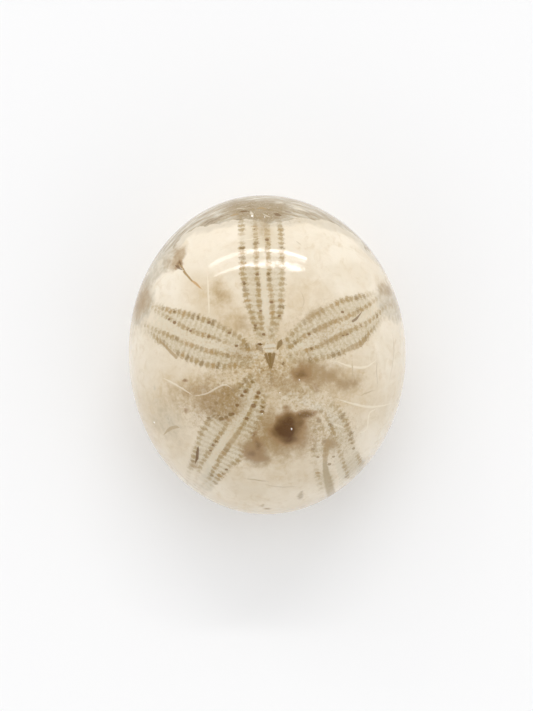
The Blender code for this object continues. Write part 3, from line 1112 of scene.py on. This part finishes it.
def make_calcite():
    """Cream calcite, polished, with the fossil's markings under the polish and small painted glints on it."""
    finish = Finish("polished_calcite")
    place = finish.add("ShaderNodeTexCoord").outputs["Object"]
    place = finish.add("ShaderNodeVectorMath", (place, None, None, 1.0 / MM), operation="SCALE").outputs[0]
    clouds = finish.noise(place, *CLOUDS)
    patches = finish.noise(place, *PATCHES)
    grain = finish.noise(place, *GRAIN)
    flecks = finish.noise(place, *FLECKS)
    ragged = finish.noise(place, *RAGGED)
    ragged_offset = finish.centred(ragged)

    colour = finish.mix(CREAM, CREAM_LIGHT, finish.step(clouds, 0.38, 0.66))
    colour = finish.mix(colour, CREAM_WARM, finish.step(patches, 0.48, 0.80, 0.0, 0.45))
    colour = finish.mix(colour, CREAM_PALE, finish.attribute("pale"))
    warm_share = finish.times(finish.attribute("warmth"), finish.step(ragged, 0.25, 0.75, 0.55, 1.1))
    colour = finish.mix(colour, CREAM_WARM, warm_share)
    mottled = finish.attribute("mottle")
    pale_share = finish.times(finish.step(flecks, 0.52, 0.62), finish.plus(mottled, 0.10))
    dark_share = finish.times(finish.step(flecks, 0.48, 0.39), finish.plus(mottled, 0.04))
    colour = finish.mix(colour, MILK, pale_share)
    colour = finish.mix(colour, TAN, dark_share)

    # Glassy zones and clouds.
    glass = finish.plus(finish.attribute("glass"), finish.times(ragged_offset, 0.5))
    glass_colour = finish.mix(GLASS_GREY, MILK, finish.step(patches, 0.42, 0.62, 0.0, 0.6))
    colour = finish.mix(colour, glass_colour, finish.step(glass, 0.30, 0.75, 0.0, 0.85))
    milk = finish.plus(finish.attribute("milk"), finish.centred(grain))
    colour = finish.mix(colour, MILK, finish.step(milk, 0.35, 0.75, 0.0, 0.8))

    colour, dots, bars = paint_petals(finish, colour, place, grain)
    colour = paint_crescent(finish, colour, ragged_offset, grain)
    tan_value = finish.plus(finish.attribute("tan"), finish.times(ragged_offset, 0.8))
    pale_flecks = finish.times(finish.step(flecks, 0.50, 0.60), mottled)
    tan_share = finish.times(
        finish.step(tan_value, 0.10, 0.95),
        finish.step(dots, 0.0, 1.0, 0.9, 0.35),
        finish.step(bars, 0.0, 1.0, 1.0, 0.45),
        finish.step(pale_flecks, 0.0, 1.0, 1.0, 0.80),
    )
    colour = finish.mix(colour, TAN, tan_share)
    umber = finish.plus(finish.attribute("umber"), finish.times(ragged_offset, 0.35))
    for stain, start, full, share in STAINS:
        colour = finish.mix(colour, stain, finish.step(umber, start, full, 0.0, share))

    # Grit in the mottled places.
    colour = finish.mix(colour, GOLD, finish.times(finish.step(grain, 0.50, 0.36), mottled, 0.50))
    pale_grit = finish.step(tan_share, 0.2, 0.8, 0.45, 0.12)
    colour = finish.mix(colour, MILK, finish.times(finish.step(grain, 0.52, 0.66), mottled, pale_grit))

    colour = paint_strokes(finish, colour, "streak", STREAK_SOFTNESS, ragged_offset)
    colour = paint_strokes(finish, colour, "crack", CRACK_SOFTNESS, ragged_offset)
    # Painted glints: small white specks standing in for light glinting off the polish.
    colour = finish.mix(colour, PAINTED_GLINT_WHITE, finish.step(finish.attribute("painted_glint"), 0.45, 0.8))

    crinkle = finish.times(finish.noise(place, *CRINKLES), finish.attribute("crinkle"))
    ripple = finish.plus(finish.times(patches, RIPPLES["patches"]), finish.times(grain, RIPPLES["grain"]))
    ripple = finish.plus(ripple, finish.times(crinkle, RIPPLES["crinkle"]))
    finish.set(
        Base_Color=colour,
        Normal=finish.bump(ripple, RIPPLE_DEPTH),
        Roughness=finish.step(grain, 0.3, 0.7, *ROUGHNESS),
        IOR=CALCITE_IOR,
        Subsurface_Weight=GLOW_SHARE,
        Subsurface_Radius=GLOW_COLOUR,
        Subsurface_Scale=GLOW_DEPTH,
    )
    return finish.material


# In a pore pair's own frame, in millimetres. How far each noise moves the pattern across and along it:
ROW_WAVER = ((WOBBLE, 0.45, 0.40), (FRAY, 0.80, 0.80))
MIRRORED = (-1.0, -1.0, 1.0)
REACH_ALONG = (0.85, 0.45)  # where a pair's pattern ends and where it is full
STRIPE_PITCH = 0.8
INNER_PORE = (0.32, 0.34)  # half-widths along and across
OUTER_PORE = (0.28, 0.45)
PORE_FRAYING = 1.5


def paint_petals(finish, colour, place, grain):
    """The pore rows, the striped ground between them and the grainy strip down each petal."""
    along, across, width = finish.parts(finish.attribute("pair", "Vector"))
    strength, striping, smooth = finish.parts(finish.attribute("pair_kept", "Vector"))
    mirrored = finish.stretched(place, MIRRORED)
    for waves, reach_across, reach_along in ROW_WAVER:
        sideways = finish.times(finish.centred(finish.noise(place, *waves)), reach_across)
        lengthways = finish.times(finish.centred(finish.noise(mirrored, *waves)), reach_along)
        across = finish.plus(across, sideways)
        along = finish.plus(along, lengthways)
    near_along = finish.step(finish.math("ABSOLUTE", along), *REACH_ALONG)
    outer_gap = finish.math("SUBTRACT", across, width)
    in_zone = finish.times(
        finish.step(across, -0.30, 0.05), finish.step(outer_gap, 0.35, 0.0), near_along, strength
    )
    wave = finish.math("COSINE", finish.times(along, 2.0 * pi / STRIPE_PITCH))
    stripe = finish.times(finish.step(wave, 0.8, -0.7), striping)
    stripe = finish.plus(finish.times(stripe, 0.8), finish.step(grain, 0.35, 0.70, 0.0, 0.55))
    ground = finish.mix(PORE_GROUND, STRIPE, finish.plus(stripe, smooth))
    colour = finish.mix(colour, ground, finish.times(in_zone, finish.step(smooth, 0.0, 1.0, 0.70, 0.45)))
    strip = finish.times(finish.step(across, -0.10, -0.50), near_along, strength)
    strip_share = finish.times(strip, finish.step(grain, 0.35, 0.62, 0.30, 0.95))
    colour = finish.mix(colour, STRIPE, strip_share)
    fraying = finish.times(finish.centred(grain), PORE_FRAYING)
    dots = 0.0
    for name, gap, (half_along, half_across) in (
        ("inner", across, INNER_PORE),
        ("outer", outer_gap, OUTER_PORE),
    ):
        paint = finish.add("ShaderNodeAttribute", attribute_name=name + "_paint").outputs
        band = finish.step(finish.math("ABSOLUTE", gap), 0.55, 0.10)
        band_share = finish.step(grain, 0.35, 0.65, 0.75, 0.35)
        colour = finish.mix(colour, PORE_BAND, finish.times(band, near_along, paint["Alpha"], band_share))
        away_along = finish.math("POWER", finish.times(along, 1.0 / half_along), 2.0)
        away_across = finish.math("POWER", finish.times(gap, 1.0 / half_across), 2.0)
        away = finish.plus(finish.math("SQRT", finish.plus(away_along, away_across)), fraying)
        dot = finish.times(finish.step(away, 1.60, 0.45), paint["Alpha"])
        colour = finish.mix(colour, paint["Color"], dot)
        core = finish.attribute(name + "_core")
        colour = finish.mix(colour, CORE, finish.times(finish.step(away, 0.80, 0.30), core))
        dots = finish.plus(dots, dot)
    return colour, dots, finish.times(in_zone, stripe)


WISP_STRETCH = (0.22, 1.0, 1.0)  # round the stone, out from its middle and up
CRESCENT_SHARE = 0.90


def paint_crescent(finish, colour, ragged_offset, grain):
    """The glassy crescent across the front, streaked, with a grey fringe along its edge."""
    rise = finish.plus(finish.attribute("crescent"), finish.times(ragged_offset, 3.5))
    ring = finish.attribute("ring", "Vector")
    wisps = finish.noise(finish.stretched(ring, WISP_STRETCH), *WISPS)
    inside = finish.step(rise, -0.5, 1.5)
    glass = finish.mix(CRESCENT_GREY, CRESCENT_BROWN, finish.step(wisps, 0.42, 0.58))
    glass = finish.mix(glass, CREAM, finish.step(wisps, 0.46, 0.34, 0.0, 0.75))
    glass = finish.mix(glass, CRESCENT_DARK, finish.step(wisps, 0.57, 0.68, 0.0, 0.8))
    dirt = finish.plus(finish.attribute("dirt"), finish.times(ragged_offset, 1.2))
    dirt_share = finish.times(finish.step(dirt, 0.1, 0.8, 0.0, 0.9), finish.step(grain, 0.3, 0.6, 0.6, 1.0))
    glass = finish.mix(glass, CRESCENT_DIRTY, dirt_share)
    grit_share = finish.times(finish.step(dirt, 0.3, 0.8), finish.step(grain, 0.60, 0.72, 0.0, 0.4))
    glass = finish.mix(glass, MILK, grit_share)
    fringe = finish.times(finish.step(rise, -7.0, -2.5), finish.step(rise, 1.0, -1.0, 0.0, 0.45))
    colour = finish.mix(colour, GLASS_GREY, fringe)
    return finish.mix(colour, glass, finish.times(inside, CRESCENT_SHARE))


STROKE_WAVER = 0.30  # how far the ragged noise moves a stroke aside, in millimetres
LEAST_WIDTH = 0.001  # millimetres, for a stroke's tip


def paint_strokes(finish, colour, name, soft, ragged_offset):
    """Streaks or cracks, over the colour under them."""
    aside, width, past = finish.parts(finish.attribute(name, "Vector"))
    paint = finish.add("ShaderNodeAttribute", attribute_name=name + "_paint").outputs
    aside = finish.plus(aside, finish.times(ragged_offset, STROKE_WAVER))
    away = finish.math("SQRT", finish.plus(finish.math("POWER", aside, 2.0), finish.math("POWER", past, 2.0)))
    reach = finish.math("DIVIDE", away, finish.math("MAXIMUM", width, LEAST_WIDTH))
    share = finish.times(finish.step(reach, 1.0 + soft, 1.0 - soft), paint["Alpha"])
    return finish.mix(colour, paint["Color"], share)


# ----------------------------------------------------------------------------------- floor and light

FLOOR_SIDE = 7.0
FLOOR_COLOUR = (0.885, 0.885, 0.89, 1.0)
FLOOR_ROUGHNESS = 0.9
FLOOR_SHINE = 0.1


def make_floor():
    """A plain pale floor."""
    shape = bmesh.new()
    bmesh.ops.create_grid(shape, x_segments=1, y_segments=1, size=FLOOR_SIDE / 2.0)
    mesh = bpy.data.meshes.new("floor")
    shape.to_mesh(mesh)
    shape.free()
    finish = Finish("pale_floor")
    finish.set(Base_Color=FLOOR_COLOUR, Roughness=FLOOR_ROUGHNESS, Specular_IOR_Level=FLOOR_SHINE)
    mesh.materials.append(finish.material)
    link_object("floor", mesh)


WINDOW_DISTANCE = 4.0
BARS = (
    # name, left and right edges, low and high edges for a window one metre away, the radiance, and
    # whether it casts a shadow
    ("softbox_low_left", (-0.84, -0.32), (0.553, 0.626), 4.6, True),
    ("softbox_low_right", (-0.32, 0.545), (0.556, 0.613), 12.0, False),
    ("softbox_middle", (-0.84, 0.56), (0.626, 0.850), 0.95, True),
    ("softbox_high_left", (-0.84, -0.48), (0.850, 0.900), 5.5, True),
    ("softbox_high_centre", (-0.48, -0.27), (0.850, 0.902), 9.0, True),
    ("softbox_high_right", (-0.27, 0.56), (0.850, 0.908), 24.0, True),
)


def make_bar(name, sides, rise, radiance, shadow):
    """A flat light in front of the fossil, facing it, between these edges."""
    light = bpy.data.lights.new(name, "AREA")
    light.shape = "RECTANGLE"
    light.size = (sides[1] - sides[0]) * WINDOW_DISTANCE
    light.size_y = (rise[1] - rise[0]) * WINDOW_DISTANCE
    light.energy = radiance * pi * light.size * light.size_y
    light.use_shadow = shadow
    bar = link_object(name, light)
    middle = (sum(sides) / 2.0, 1.0, sum(rise) / 2.0)
    bar.location = Vector(middle) * WINDOW_DISTANCE
    bar.rotation_euler = (-pi / 2.0, 0.0, 0.0)
    bar.visible_camera = False


SKY_STRENGTH = 1.14
SKY_FILL = (1.10, 0.90)  # the sky's share opposite the window and behind it
SHADE_STRENGTH = 0.32  # where the camera and whoever holds it stand against the light
SHADE_WAY = (0.0, -sin(radians(20.0)), cos(radians(20.0)))
SHADE_REACH = (cos(radians(42.0)), cos(radians(20.0)))
WHITE = (1.0, 1.0, 1.0, 1.0)


def make_lights():
    """Soft white surroundings, shaded overhead, and a wide softbox, brighter along its two long edges."""
    for bar in BARS:
        make_bar(*bar)
    world = bpy.data.worlds.new("surroundings")
    bpy.context.scene.world = world
    world.use_nodes = True
    sky = Network(world.node_tree)
    way = sky.add("ShaderNodeTexCoord").outputs["Generated"]
    overhead = sky.add("ShaderNodeVectorMath", (way, SHADE_WAY), operation="DOT_PRODUCT").outputs["Value"]
    fade = sky.step(overhead, *SHADE_REACH, SKY_STRENGTH, SHADE_STRENGTH)
    fill = sky.step(sky.parts(way)["Y"], -1.0, 1.0, *SKY_FILL, curve="LINEAR")
    background = sky.nodes["Background"]
    sky.plug(WHITE, background.inputs["Color"])
    sky.plug(sky.times(fade, fill), background.inputs["Strength"])
    bpy.context.scene.view_settings.view_transform = "Standard"


make_camera()
stone = make_stone()
make_floor()
make_lights()
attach(stone, "root")
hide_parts(NODE)
